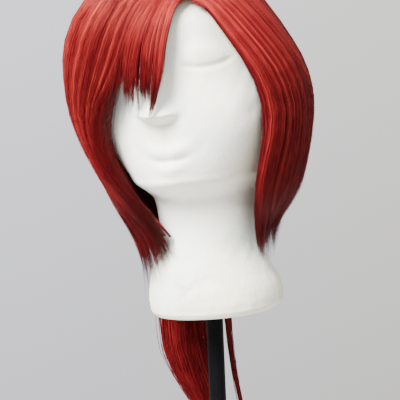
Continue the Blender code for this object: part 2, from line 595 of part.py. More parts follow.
def leg(k, direction, tube_material, plastic, steel, rubber):
    """One leg in its own frame: the hinge at the origin, the foot down -Z, outward along +X."""
    at = (HINGE_RADIUS * cos(direction), HINGE_RADIUS * sin(direction), HINGE_HEIGHT)
    frame = empty(f"leg_{k}_frame", at, (0, -LEG_SPLAY, direction), parent=STAND)
    length = HINGE_HEIGHT / cos(LEG_SPLAY)
    tube_top = -24 * MM
    tube_bottom = tube_top - UPPER_TUBE_LENGTH
    upper_inner = UPPER_TUBE_RADIUS - TUBE_WALL

    knuckle_length = KNUCKLE_HEEL - tube_top - GAP
    knuckle = block(f"leg_knuckle_{k}", (KNUCKLE_DEPTH, KNUCKLE_WIDTH, knuckle_length),
                    (0, 0, KNUCKLE_HEEL - knuckle_length / 2), plastic, 1 * MM, parent=frame)
    spigot = rod(f"spigot_{k}", upper_inner - GAP, tube_top + 6 * MM, tube_top - 16 * MM,
                 parent=frame)
    boolean(knuckle, spigot, "UNION")
    boolean(knuckle, rod(f"knuckle_hole_{k}", PIN_RADIUS + GAP, KNUCKLE_WIDTH, -KNUCKLE_WIDTH,
                         parent=frame, turn=(pi / 2, 0, 0)))
    tube(f"upper_leg_tube_{k}", UPPER_TUBE_RADIUS, upper_inner, tube_top, tube_bottom,
         tube_material, parent=frame)

    collar_wall, collar_length, lip = 3 * MM, 30 * MM, 5 * MM
    collar_top = tube_bottom + collar_length - lip
    collar_inner = UPPER_TUBE_RADIUS + GAP
    collar_outer = collar_inner + collar_wall
    guide = LOWER_TUBE_RADIUS + GAP
    collar = turned(f"leg_lock_collar_{k}", [
        (collar_outer - 1 * MM, collar_top), (collar_outer, collar_top - 1 * MM),
        (collar_outer, tube_bottom - lip + 1 * MM), (collar_outer - 1 * MM, tube_bottom - lip),
        (guide, tube_bottom - lip), (guide, tube_bottom - GAP),
        (collar_inner, tube_bottom - GAP), (collar_inner, collar_top)],
        plastic, closed=True, parent=frame)
    ear_x = collar_outer + 3.5 * MM
    lever_width = 10 * MM
    ear_gap = lever_width + 2 * GAP
    ear_z = collar_top - 6 * MM
    ear = block(f"ear_{k}", (10 * MM, ear_gap + 6 * MM, 9 * MM), (ear_x - 2 * MM, 0, ear_z),
                bevel=1.5 * MM, parent=frame)
    boolean(collar, ear, "UNION")
    slot_length = 20 * MM
    slot_start = collar_outer - collar_wall / 3  # lets the lever's heel swing past the collar
    boolean(collar, block(f"ear_slot_{k}", (slot_length, ear_gap, 14 * MM),
                          (slot_start + slot_length / 2, 0, ear_z), parent=frame))
    boolean(collar, rod(f"leg_bore_{k}", collar_inner, collar_top + 5 * MM, tube_bottom - GAP,
                        parent=frame))
    lever_pin = 1.5 * MM
    pin_at = (ear_x, 0, ear_z)
    sideways = (pi / 2, 0, 0)
    boolean(collar, rod(f"lever_hole_{k}", lever_pin + GAP, 20 * MM, -20 * MM, parent=frame,
                        at=pin_at, turn=sideways))
    rod(f"lever_pin_{k}", lever_pin, ear_gap / 2 + 3 * MM, -ear_gap / 2 - 3 * MM, steel,
        parent=frame, at=pin_at, turn=sideways)

    lever_frame = empty(f"lever_{k}_frame", pin_at, parent=frame)
    lever_thickness, lever_length = 3.4 * MM, 27 * MM
    lever = block(f"leg_lock_lever_{k}", (lever_thickness, lever_width, lever_length),
                  (0.6 * MM, 0, 3 * MM - lever_length / 2), plastic, 1 * MM, parent=lever_frame)
    hub = rod(f"lever_hub_{k}", lever_pin + 1.5 * MM, lever_width / 2, -lever_width / 2,
              parent=lever_frame, turn=sideways)
    boolean(lever, hub, "UNION")
    boolean(lever, rod(f"lever_eye_{k}", lever_pin + GAP, lever_width, -lever_width,
                       parent=lever_frame, turn=sideways))

    lower_inner = LOWER_TUBE_RADIUS - TUBE_WALL
    sole = length
    foot_overlap = 14 * MM
    lower_bottom = -(sole - FOOT_LENGTH + foot_overlap)
    lower_top = tube_bottom + LOWER_TUBE_INSERTION
    tube(f"lower_leg_tube_{k}", LOWER_TUBE_RADIUS, lower_inner, lower_top, lower_bottom,
         tube_material, parent=frame)
    socket = LOWER_TUBE_RADIUS + GAP
    rim = FOOT_LENGTH - sole
    foot = turned(f"rubber_foot_{k}", [
        (0, lower_bottom - GAP), (socket, lower_bottom - GAP), (socket, rim),
        (socket + 1.4 * MM, rim), (FOOT_RADIUS, rim - 8 * MM),
        (FOOT_RADIUS, -sole - 12 * MM), (0, -sole - 12 * MM)], rubber, parent=frame)
    floor_size = 200 * MM
    ground = block(f"floor_{k}", (floor_size, floor_size, 40 * MM),
                   (sole * sin(LEG_SPLAY), 0, -HINGE_HEIGHT - 20 * MM), parent=STAND,
                   at=at, turn=(0, 0, direction))
    return boolean(foot, ground)


def centre_on_floor():
    """Moves the stand and head so that the middle of what the object covers is at the origin."""
    bpy.context.view_layer.update()
    graph = bpy.context.evaluated_depsgraph_get()
    corners = []
    for obj in PARTS.objects:
        if obj.type == "MESH":
            seen = obj.evaluated_get(graph)
            corners += [seen.matrix_world @ v.co for v in seen.to_mesh().vertices]
            seen.to_mesh_clear()
    for axis in (0, 1):
        values = [c[axis] for c in corners]
        STAND.location[axis] -= (min(values) + max(values)) / 2


clear_scene()
PARTS = new_collection("mannequin_training_head")
CUTTERS = new_collection("cutters")
STAND = empty("stand_frame", (0, 0, 0))
HEAD_FRAME = empty("head_frame", (0, 0, NECK_UNDERSIDE), parent=STAND)
HEAD_FRAME.rotation_mode = "QUATERNION"
HEAD_FRAME.rotation_quaternion = Quaternion(
    (cos(LEAN_TOWARDS + pi / 2), sin(LEAN_TOWARDS + pi / 2), 0), LEAN)

FOAM = material("foam", (0.86, 0.86, 0.80), 0.7)
HAIR = material("hair", (0.50, 0.03, 0.03), 0.4)
NET = material("cap_net", (0.16, 0.02, 0.02), 0.8)
ELASTIC = material("elastic", (0.10, 0.015, 0.015), 0.8)
BLACK_TUBE = material("black_tube", (0.012, 0.012, 0.013), 0.35)
BLACK_PLASTIC = material("black_plastic", (0.02, 0.02, 0.021), 0.5)
BUSH = material("nylon_bush", (0.75, 0.74, 0.70), 0.5)
STEEL = material("steel", (0.55, 0.55, 0.56), 0.35, 1.0)
RUBBER = material("rubber", (0.015, 0.015, 0.015), 0.8)

foam_head(FOAM)
wig(NET, ELASTIC, HAIR)
column(BLACK_TUBE, STEEL, BLACK_PLASTIC)
apex(BLACK_PLASTIC, BUSH, STEEL, BLACK_PLASTIC)
for number, heading in enumerate(LEG_DIRECTIONS, 1):
    leg(number, heading, BLACK_TUBE, BLACK_PLASTIC, STEEL, RUBBER)
centre_on_floor()
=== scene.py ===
"""Looks of the foam mannequin head with its long red wig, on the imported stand.

The head and the wig are built in the head's own frame, in metres: the origin is the middle of the
neck's underside, +Z is up the neck, -Y is the face and +X is the wearer's left. Angles run round
the neck from +X through +Y, so the face looks towards 270 degrees and the right ear is at 180.
"""
import json
from math import cos, pi, radians, sin

import bpy
import numpy as np
from mathutils import Matrix, Vector

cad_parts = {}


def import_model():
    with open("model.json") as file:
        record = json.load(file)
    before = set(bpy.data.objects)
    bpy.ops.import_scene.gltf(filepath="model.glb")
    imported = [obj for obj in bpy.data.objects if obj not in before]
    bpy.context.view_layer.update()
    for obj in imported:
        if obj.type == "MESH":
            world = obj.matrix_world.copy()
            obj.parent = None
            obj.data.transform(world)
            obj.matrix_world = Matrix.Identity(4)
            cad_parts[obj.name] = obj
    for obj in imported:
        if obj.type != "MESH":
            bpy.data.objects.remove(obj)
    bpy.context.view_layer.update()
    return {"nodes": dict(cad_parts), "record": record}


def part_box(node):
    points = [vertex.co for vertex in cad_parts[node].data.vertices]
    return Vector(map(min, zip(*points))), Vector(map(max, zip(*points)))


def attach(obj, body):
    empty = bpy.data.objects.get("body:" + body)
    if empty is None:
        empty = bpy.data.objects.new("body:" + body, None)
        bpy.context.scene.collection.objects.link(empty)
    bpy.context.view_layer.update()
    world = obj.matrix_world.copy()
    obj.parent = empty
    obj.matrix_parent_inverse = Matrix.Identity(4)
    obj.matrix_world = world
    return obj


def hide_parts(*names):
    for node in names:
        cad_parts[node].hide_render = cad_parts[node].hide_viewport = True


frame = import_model()
nodes = frame["nodes"]

MM = 0.001
CAMERA_TURN = radians(22)  # the camera stands this far round from the face, to the head's left
FACE_WAY = 270.0  # degrees, towards the face
LEAN = radians(3)  # the foam sits a little askew on its mount
LEAN_TOWARDS = radians(202)
MOUNT_RAISE = 4 * MM  # the mount starts this far up inside the neck

column_low, column_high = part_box("column_tube")
mount_low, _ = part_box("head_mount")
AXIS = (column_low + column_high) / 2
NECK = Vector((AXIS.x, AXIS.y, mount_low.z - MOUNT_RAISE))
SEAT_ASIDE = 3 * MM  # the foam sits this far off the column's axis
LEAN_AXIS = Vector((cos(LEAN_TOWARDS + pi / 2), sin(LEAN_TOWARDS + pi / 2), 0))
VIEW_RIGHT = Vector((cos(CAMERA_TURN), sin(CAMERA_TURN), 0))  # to the right as the camera sees it
SEAT = NECK + VIEW_RIGHT * SEAT_ASIDE
HEAD = Matrix.Translation(SEAT) @ Matrix.Rotation(LEAN, 4, LEAN_AXIS)
HEAD_TURN = np.array(HEAD.to_3x3())
HEAD_PLACE = np.array(HEAD.translation)
DOME_ASIDE = 8.0  # millimetres that the head's dome stands over to its right
ASIDE_FROM, ASIDE_OVER = 215, 80  # the height it starts at, and the height it takes
ASIDE_WAY = np.array([0.93, 0.37, 0.0])  # the dome stands over the opposite way


# ------------------------------------------------------------------ numbers and noise

WAVE_COUNT = 14


def ease(t):
    """0 to 1 over t from 0 to 1, with a smooth start and end."""
    t = np.clip(t, 0, 1)
    return t * t * (3 - 2 * t)


def hill(distance, width):
    """1 at no distance, falling smoothly to 0 over about this width."""
    return np.exp(-(distance / width) ** 2)


def polar(angle, radius, height):
    """Points at angles in degrees round the neck."""
    turn = np.radians(angle)
    return np.stack(np.broadcast_arrays(radius * np.cos(turn), radius * np.sin(turn), height), -1)


def degrees_from(middle, angle):
    """How far angles are from a middle one, between -180 and 180 degrees."""
    return (angle - middle + 180) % 360 - 180


def outward(points):
    """Directions in plan from the neck's axis to points."""
    plan = points[..., :2]
    return plan / np.maximum(np.linalg.norm(plan, axis=-1, keepdims=True), 1)


def smoothed(paths):
    """Paths with each inner point drawn towards its two neighbours."""
    paths[:, 1:-1] = 0.25 * paths[:, :-2] + 0.5 * paths[:, 1:-1] + 0.25 * paths[:, 2:]
    return paths


def ramp(table, at):
    """The values of a table of (position, value, ...) rows at these positions, joined smoothly."""
    table = np.array(table, float)
    order = np.argsort(table[:, 0])
    spots = table[order, 0]
    columns = []
    for column in table[order, 1:].T:
        slope = np.gradient(column, spots)
        slot = np.clip(np.searchsorted(spots, at) - 1, 0, len(spots) - 2)
        step = spots[slot + 1] - spots[slot]
        t = np.clip((at - spots[slot]) / step, 0, 1)
        first = (1 + 2 * t) * (1 - t) ** 2 * column[slot] + t * (1 - t) ** 2 * step * slope[slot]
        last = t * t * (3 - 2 * t) * column[slot + 1] - t * t * (1 - t) * step * slope[slot + 1]
        columns.append(first + last)
    return np.array(columns)


def linear(table, at):
    """The values of a table of (position, value, ...) rows at these positions, joined straight."""
    table = np.array(table, float)
    return np.array([np.interp(at, table[:, 0], column) for column in table[:, 1:].T])


def waves(rng, points, size):
    """A smooth random field over 3-D points, about -1 to 1, with features of about this size."""
    total = np.zeros(points.shape[:-1])
    for _ in range(WAVE_COUNT):
        way = rng.normal(size=3)
        way *= 2 * pi / (size * rng.uniform(0.7, 1.6) * np.linalg.norm(way))
        total += np.sin(points @ way + rng.uniform(0, 2 * pi))
    return total / np.sqrt(WAVE_COUNT)


# ------------------------------------------------------------------ meshes

def mesh_object(name, points, faces, mat, attributes=None):
    """A mesh in the head's frame, put in its place. faces is a list of arrays, one for each
    number of corners.
    """
    aside = DOME_ASIDE * ease((points[:, 2] / MM - ASIDE_FROM) / ASIDE_OVER) * MM
    points = points - aside[:, None] * ASIDE_WAY
    points = points @ HEAD_TURN.T + HEAD_PLACE
    mesh = bpy.data.meshes.new(name)
    loops = np.concatenate([f.ravel() for f in faces]).astype(np.int32)
    sizes = np.concatenate([np.full(len(f), f.shape[1]) for f in faces])
    starts = np.concatenate([[0], np.cumsum(sizes)[:-1]]).astype(np.int32)
    mesh.vertices.add(len(points))
    mesh.vertices.foreach_set("co", points.astype(np.float32).ravel())
    mesh.loops.add(len(loops))
    mesh.loops.foreach_set("vertex_index", loops)
    mesh.polygons.add(len(starts))
    mesh.polygons.foreach_set("loop_start", starts)
    for label, values in (attributes or {}).items():
        made = mesh.attributes.new(label, "FLOAT", "POINT")
        made.data.foreach_set("value", values.astype(np.float32))
    mesh.update(calc_edges=True)
    mesh.shade_smooth()
    mesh.materials.append(mat)
    made = bpy.data.objects.new(name, mesh)
    bpy.context.scene.collection.objects.link(made)
    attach(made, "head")
    return made


def grid_faces(rows, columns):
    """Quads between rings of points that close round."""
    row, column = np.meshgrid(np.arange(rows - 1), np.arange(columns), indexing="ij")
    after = (column + 1) % columns
    low, high = row * columns, (row + 1) * columns
    quads = np.stack([low + column, low + after, high + after, high + column], -1)
    return quads.reshape(-1, 4)


def closed_rings(rings):
    """Points and faces of a solid through rings of points, closed by a fan at each end."""
    rows, columns = rings.shape[:2]
    points = np.concatenate([rings.reshape(-1, 3), rings[:1].mean(1), rings[-1:].mean(1)])
    around = np.arange(columns)
    after = (around + 1) % columns
    low = np.stack([after, around, np.full(columns, rows * columns)], 1)
    last = (rows - 1) * columns
    high = np.stack([last + around, last + after, np.full(columns, rows * columns + 1)], 1)
    return points, [grid_faces(rows, columns), low, high]


def slab(outer, inner):
    """Points and faces of a curved slab between two grids of points of the same size."""
    rows, columns = outer.shape[:2]
    per_side = rows * columns
    number = np.arange(per_side).reshape(rows, columns)

    def strip(*corners):
        return np.stack(corners, -1).reshape(-1, 4)

    out = strip(number[:-1, :-1], number[:-1, 1:], number[1:, 1:], number[1:, :-1])
    within = out[:, ::-1] + per_side
    border = np.concatenate([number[0, :-1], number[:-1, -1], number[-1, :0:-1], number[:0:-1, 0]])
    after = np.roll(border, -1)
    edges = strip(after, border, border + per_side, after + per_side)
    points = np.concatenate([outer.reshape(-1, 3), inner.reshape(-1, 3)])
    return points, [np.concatenate([out, within, edges])]


# ------------------------------------------------------------------ materials

BEAD_SCALE = 290


class Shader:
    """A Principled material, with short calls that add nodes to it."""

    def __init__(self, name, colour, roughness, **values):
        self.mat = bpy.data.materials.new(name)
        self.mat.use_nodes = True
        self.tree = self.mat.node_tree
        self.out = self.tree.nodes["Principled BSDF"]
        self.set("Base Color", (*colour, 1))
        self.set("Roughness", roughness)
        for socket, value in values.items():
            self.set(socket.replace("_", " "), value)
        self.place = self.node("ShaderNodeTexCoord").outputs["Object"]

    def set(self, socket, value):
        self.out.inputs[socket].default_value = value

    def node(self, kind, inputs=None, **settings):
        made = self.tree.nodes.new(kind)
        for key, value in settings.items():
            setattr(made, key, value)
        for key, value in (inputs or {}).items():
            if isinstance(value, bpy.types.NodeSocket):
                self.tree.links.new(value, made.inputs[key])
            else:
                made.inputs[key].default_value = value
        return made

    def noise(self, scale, detail, stretch=(1, 1, 1)):
        where = self.node("ShaderNodeMapping", {"Vector": self.place, "Scale": stretch}).outputs[0]
        return self.node("ShaderNodeTexNoise",
                         {"Vector": where, "Scale": scale, "Detail": detail}).outputs["Fac"]

    def cells(self, scale, feature="F1"):
        return self.node("ShaderNodeTexVoronoi", {"Vector": self.place, "Scale": scale},
                         feature=feature).outputs["Distance"]

    def attribute(self, name):
        return self.node("ShaderNodeAttribute", attribute_name=name).outputs["Fac"]

    def math(self, operation, a, b=0.0, c=0.0):
        return self.node("ShaderNodeMath", {0: a, 1: b, 2: c}, operation=operation).outputs[0]

    def span(self, value, low, high, to_low=0.0, to_high=1.0):
        return self.node("ShaderNodeMapRange", {"Value": value, "From Min": low, "From Max": high,
                                                "To Min": to_low, "To Max": to_high}).outputs[0]

    def colours(self, value, stops):
        made = self.node("ShaderNodeValToRGB", {"Fac": value})
        elements = made.color_ramp.elements
        while len(elements) < len(stops):
            elements.new(0.5)
        for element, (spot, colour) in zip(elements, stops):
            element.position = spot
            element.color = (*colour, 1)
        return made.outputs["Color"]

    def mix(self, share, a, b):
        def full(colour):
            return (*colour, 1) if isinstance(colour, tuple) else colour

        made = self.node("ShaderNodeMix", data_type="RGBA")
        for key, value in (("Factor", share), ("A", full(a)), ("B", full(b))):
            socket = next(s for s in made.inputs if s.name == key and s.enabled)
            if isinstance(value, bpy.types.NodeSocket):
                self.tree.links.new(value, socket)
            else:
                socket.default_value = value
        return next(s for s in made.outputs if s.enabled)

    def link(self, socket, value):
        self.tree.links.new(value, self.out.inputs[socket])

    def bump(self, height, distance, strength):
        """Bumps on top of those that the material has already."""
        made = self.node("ShaderNodeBump", {"Height": height, "Distance": distance,
                                            "Strength": strength})
        before = self.out.inputs["Normal"]
        if before.is_linked:
            self.tree.links.new(before.links[0].from_socket, made.inputs["Normal"])
        self.tree.links.new(made.outputs["Normal"], before)


def foam_material():
    """Moulded beads with faint seams, mottled, yellowed by handling and stained at the neck; the
    yellowing also carries painted warm light on one side.
    """
    made = Shader("foam_beads", (0.80, 0.82, 0.80), 0.62, Specular_IOR_Level=0.35)
    mottle = made.span(made.noise(16, 4), 0.3, 0.7)
    base = made.colours(mottle, [(0.0, (0.84, 0.91, 0.87)), (0.45, (0.91, 0.92, 0.83)),
                                 (1.0, (0.92, 0.90, 0.72))])
    patchy = made.span(made.noise(30, 5), 0.3, 0.7, 0.5, 1)
    # this yellowing mask mixes real yellowing near the base with painted warm light on one side
    handled_and_warm_lit = made.math("MULTIPLY", made.attribute("yellowing_and_warm_light"), patchy)
    base = made.mix(handled_and_warm_lit, base, (0.66, 0.56, 0.30))
    specks = made.span(made.noise(70, 4), 0.45, 0.62)
    marks = made.math("MULTIPLY", made.attribute("stained"), specks)
    base = made.mix(marks, base, (0.42, 0.33, 0.24))
    beads = made.cells(BEAD_SCALE)
    seams = made.cells(BEAD_SCALE, "DISTANCE_TO_EDGE")
    base = made.mix(made.span(seams, 0.0, 0.09, 0.16, 0.0), base, (0.55, 0.56, 0.54))
    made.link("Base Color", base)
    made.link("Roughness", made.span(made.noise(120, 3), 0.3, 0.7, 0.52, 0.72))
    made.bump(made.math("MULTIPLY", beads, -1.0), 0.0008, 0.14)
    made.bump(made.noise(900, 2), 0.0002, 0.15)
    return made.mat


def hair_material(name, dark, mid, light, gloss=0.4):
    """Strand colour: a per-vertex attribute picks it. It holds a random dye tone plus painted shade
    on the deeper hairs and towards the tips, and a little noise varies it along the strand.
    """
    made = Shader(name, mid, gloss, Specular_IOR_Level=0.2, Specular_Tint=(1.0, 0.42, 0.32, 1))
    tone_and_shade = made.attribute("tone_and_shade")
    along = made.noise(55, 3)
    value = made.math("MULTIPLY_ADD", made.math("SUBTRACT", along, 0.5), 0.35, tone_and_shade)
    made.link("Base Color", made.colours(value, [(0.0, dark), (0.5, mid), (1.0, light)]))
    made.link("Roughness", made.span(tone_and_shade, 0.0, 1.0, gloss + 0.12, gloss - 0.05))
    made.bump(made.noise(900, 2, (1, 1, 0.08)), 0.0002, 0.15)
    return made.mat


# ------------------------------------------------------------------ foam head

# Height, half width, reach of the face and reach of the back, in millimetres.
SKULL = [
    (0, 55, 55, 55), (3, 60, 60, 60), (9, 62, 62, 62), (20, 61.5, 61.5, 61),
    (38, 54, 57, 52), (58, 45, 51, 42), (78, 44, 50, 37), (94, 45, 51, 36),
    (104, 45.5, 53, 36), (112, 47, 58, 38), (119, 51, 71, 40), (126, 57, 83, 43), (134, 61, 86, 46),
    (155, 70, 88.5, 54), (172, 75, 90, 62), (188, 77, 92, 69), (210, 77, 93, 75),
    (236, 75, 95, 79), (250, 73, 95, 80),
]
SKULL_TOP = 341
SKULL_WIDEST = 250
SKULL_ROUNDNESS = 1.85
SKULL_FULLNESS = 2.15
DENTS = 26


def oval(angle, right, left, front, back, fullness):
    """The radius at angles of an oval with four reaches. Fullness 2 is an ellipse."""
    across, along = np.cos(np.radians(angle)), np.sin(np.radians(angle))
    x_share = np.abs(across) / np.where(across > 0, left, right)
    y_share = np.abs(along) / np.where(along > 0, back, front)
    return (x_share ** fullness + y_share ** fullness) ** (-1 / fullness)


def skull_radius(angle, height):
    """The plain head's radius at angles in degrees and heights in millimetres."""
    width, front, back = ramp(SKULL, np.minimum(height, SKULL_WIDEST))
    rise = np.clip((height - SKULL_WIDEST) / (SKULL_TOP - SKULL_WIDEST), 0, 1)
    share = (1 - rise ** SKULL_ROUNDNESS) ** (1 / SKULL_ROUNDNESS)
    flare = 5.0 * hill(height - 47, 15) * ease(-np.cos(np.radians(angle)) * 1.5)
    return oval(angle, width, width, front, back, SKULL_FULLNESS) * share + flare


def skull_dome(angle, radius, gap):
    """The height of the surface this far outside the skull's dome, at a radius from the axis."""
    width, front, back = SKULL[-1][1:]
    share = np.clip(radius / (oval(angle, width, width, front, back, SKULL_FULLNESS) + gap), 0, 1)
    rise = (1 - share ** SKULL_ROUNDNESS) ** (1 / SKULL_ROUNDNESS)
    return SKULL_WIDEST + (SKULL_TOP - SKULL_WIDEST + gap) * rise


def closed_eye(across, height):
    """A wide closed lid: a low swelling with a crease along its lower edge."""
    side = np.abs(across) - 47
    lid = 3.4 * hill(side, 24) * hill(height - 240 + 0.010 * side ** 2, 11)
    crease_height = 227 + 0.0115 * (side + 3) ** 2
    crease = -1.7 * hill(height - crease_height, 2.6) * ease((26 - np.abs(side + 1)) / 12)
    brow = 2.2 * hill(side - 2, 30) * hill(height - 268 + 0.006 * side ** 2, 12)
    socket = -3.2 * hill(side + 22, 13) * hill(height - 233, 17)
    return lid + crease + brow + socket


def nose(across, height):
    """A narrow bridge that widens into a rounded tip, cut under sharply."""
    top, tip = 240, 189
    share = np.clip((top - height) / (top - tip), 0, 1)
    stand = 3.0 + 13.5 * share ** 1.4
    width = 7.0 + 6.5 * share ** 2
    under = ease((height - 179 - 0.012 * across ** 2) / 10)
    wings = 5.0 * hill(np.abs(across) - 12, 6) * hill(height - 187, 7)
    bridge = stand * hill(across, width) * ease((264 - height) / 34)
    return (bridge + wings) * under


def mouth(across, height):
    """Closed lips: the line between them rises towards the corners."""
    across = across - 5
    line = 147.5 + 0.0085 * across ** 2
    gap = -1.9 * hill(height - line, 2.3) * ease((25 - np.abs(across)) / 16)
    upper = 3.4 * hill(np.abs(across) - 7, 11) * hill(height - line - 8, 6.0)
    dip = -1.0 * hill(across, 3.5) * hill(height - 166, 8)
    lower = 3.2 * hill(across, 15) * hill(height - line + 7, 5.5)
    muzzle = 3.0 * hill(across, 30) * hill(height - 156, 22)
    corner = -1.0 * hill(np.abs(across) - 31, 6) * hill(height - 159, 8)
    return gap + upper + dip + lower + muzzle + corner


def face_relief(angle, height):
    """How far the face stands out from the plain head, in millimetres."""
    facing = -np.sin(np.radians(angle))
    across = 95 * np.cos(np.radians(angle))
    chin = 4.5 * hill(across, 19) * hill(height - 128, 11)
    turned = np.abs(degrees_from(FACE_WAY, angle))
    cheeks = 10.0 * hill(turned - 48, 23) * hill(height - 181, 34)
    dent = -1.8 * hill(across - 74, 8) * hill(height - 185, 11)
    relief = closed_eye(across, height) + nose(across, height) + mouth(across, height)
    return (relief + chin + cheeks + dent) * ease(facing / 0.25)


def foam_head():
    """The whole head as one closed surface, with the bore for the stand's mount under the neck."""
    rng = np.random.default_rng(11)
    around = 300
    angles = np.arange(around) * 360 / around
    bore, depth = 17.5, 118.0
    dome = 93 * np.sin(np.linspace(0, 1, 34)[1:-1] * pi / 2)
    sides = np.concatenate([np.linspace(3, SKULL_WIDEST, 190), SKULL_WIDEST + dome])
    angle, height = np.meshgrid(angles, sides)
    outer = polar(angle, skull_radius(angle, height) + face_relief(angle, height), height)
    tip = polar(angles, 2.0, SKULL_TOP)
    turn = polar(angles, 1.0, 0.0)
    up = np.array([0, 0, 1.0])
    inner = [turn * 0.5 + up * depth, turn * bore + up * depth]
    inner += [turn * bore + up * h for h in np.linspace(depth - 6, 1, 12)]
    upright = slice(0, len(inner))  # the bore follows the mount, which does not lean
    rim = skull_radius(angles, np.full(around, 3.0))[:, None]
    inner += [turn * (bore + 0.8), turn * (bore + 14), turn * (rim * 0.75), turn * (rim - 4.5),
              turn * (rim - 2.0) + up * 0.7, turn * (rim - 0.6) + up * 1.8]
    inner = np.array(inner)
    inner[upright] = (inner[upright] - np.array(SEAT - NECK) / MM) @ HEAD_TURN
    rings = np.concatenate([inner, outer, tip[None]])
    flat = rings.reshape(-1, 3)
    out = flat / np.maximum(np.linalg.norm(flat, axis=1, keepdims=True), 1)
    body = ease((np.hypot(flat[:, 0], flat[:, 1]) - bore - 2) / 6)
    uneven = 0.55 * waves(rng, flat, 70) + 0.16 * waves(rng, flat, 14) + 0.07 * waves(rng, flat, 5)
    dents = np.zeros(len(flat))
    for _ in range(DENTS):
        where = flat[rng.integers(len(inner) * around, len(flat))]
        deep = rng.uniform(0.2, 0.8)
        dents -= deep * hill(np.linalg.norm(flat - where, axis=1), rng.uniform(1.5, 4))
    flat = flat + out * ((uneven + dents) * body)[:, None]
    flat[:, 2] = np.maximum(flat[:, 2], 0)
    points, faces = closed_rings(flat.reshape(rings.shape))
    angle = np.degrees(np.arctan2(points[:, 1], points[:, 0])) % 360
    height = points[:, 2]
    patch = waves(rng, points, 60)
    yellowing_and_warm_light = ease((46 - height) / 40) * (0.25 + 0.75 * ease((np.abs(angle - 20) < 70) * 1.0))
    # painted warm light: a warm tint on the side towards the camera's right, and a yellower crown
    warm_side_and_crown = 0.2 * ease(np.cos(np.radians(angle - 345))) + 0.22 * ease((height - 235) / 50)
    yellowing_and_warm_light = np.clip(yellowing_and_warm_light * 0.6 + 0.25 * ease(patch - 0.6) + warm_side_and_crown, 0, 1) * (height > 0.5)
    stained = hill(height - 30, 16) * hill(degrees_from(268, angle), 30)
    beside = 0.2 * hill(height - 60, 20) * hill(degrees_from(300, angle), 20)
    stained = np.clip(0.35 * stained + beside, 0, 1)
    made = mesh_object("foam_head_visual", points * MM, faces, foam_material(),
                       attributes={"yellowing_and_warm_light": yellowing_and_warm_light, "stained": stained})
    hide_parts("foam_head")


# ------------------------------------------------------------------ hair envelope

# Height, then how far the hair's outside is from the neck's axis: right, left, front and back.
HAIR = [
    (-150, 42, 52, 52, 66), (-90, 56, 60, 60, 74), (-20, 60, 66, 64, 80), (40, 62, 56, 58, 84),
    (62, 66, 56, 60, 85), (76, 73, 63, 65, 88), (90, 79, 75, 72, 92), (105, 85, 85, 78, 96),
    (119, 91, 91, 85, 100), (133, 97, 95, 92, 102), (147, 103, 98, 99, 105),
    (161, 108, 102, 104, 107), (175, 114, 107, 108, 109), (189, 119, 110, 111, 110),
    (203, 122, 109, 113, 110), (217, 124, 104, 114, 108), (231, 123, 98, 114, 105),
    (245, 120, 92, 113, 103), (258, 115, 88, 111, 99), (272, 109, 82, 107, 94),
    (286, 101, 75, 100, 87), (300, 89, 66, 91, 79), (315, 72, 55, 78, 68),
    (330, 52, 41, 60, 54), (343, 34, 27, 39, 37), (352, 16, 14, 19, 17), (358, 1, 1, 1, 1),
]
HAIR_TOP = 357.5
HAIR_FULLNESS = 2.2
HAIR_DEPTH = 15.0  # how far under the outside the longest hair lies
HAIR_RIM = 268.0  # the level at which the hair leaves the dome
DOME_SHARE = 0.36  # of a hair's steps, those on the dome
HALVINGS = 22  # of the range of heights, to find the dome's height
HAIRS_IN_A_PIECE = 2250
HAIR_STEPS = 16
HAIR_SIDES = 3
HAIR_WIDTH = (0.26, 0.5)  # millimetres, a few hairs clumped together
STRAY_SHARE = 0.02
WHORL = np.array([6.0, 22.0])  # the crown, where the parting ends
PART_FRONT = np.array([42.0, -74.0])  # the parting's end at the hairline


def hair_radius(angle, height):
    """The radius of the hair's outside."""
    right, left, front, back = ramp(HAIR, height)
    return oval(angle, right, left, front, back, HAIR_FULLNESS)


def dome_height(angle, radius):
    """The height at which the outside of the hair's dome has a radius."""
    low = np.full(angle.shape, 225.0)
    high = np.full(angle.shape, HAIR_TOP)
    for _ in range(HALVINGS):
        middle = (low + high) / 2
        wide = hair_radius(angle, middle) > radius
        low, high = np.where(wide, middle, low), np.where(wide, high, middle)
    return low


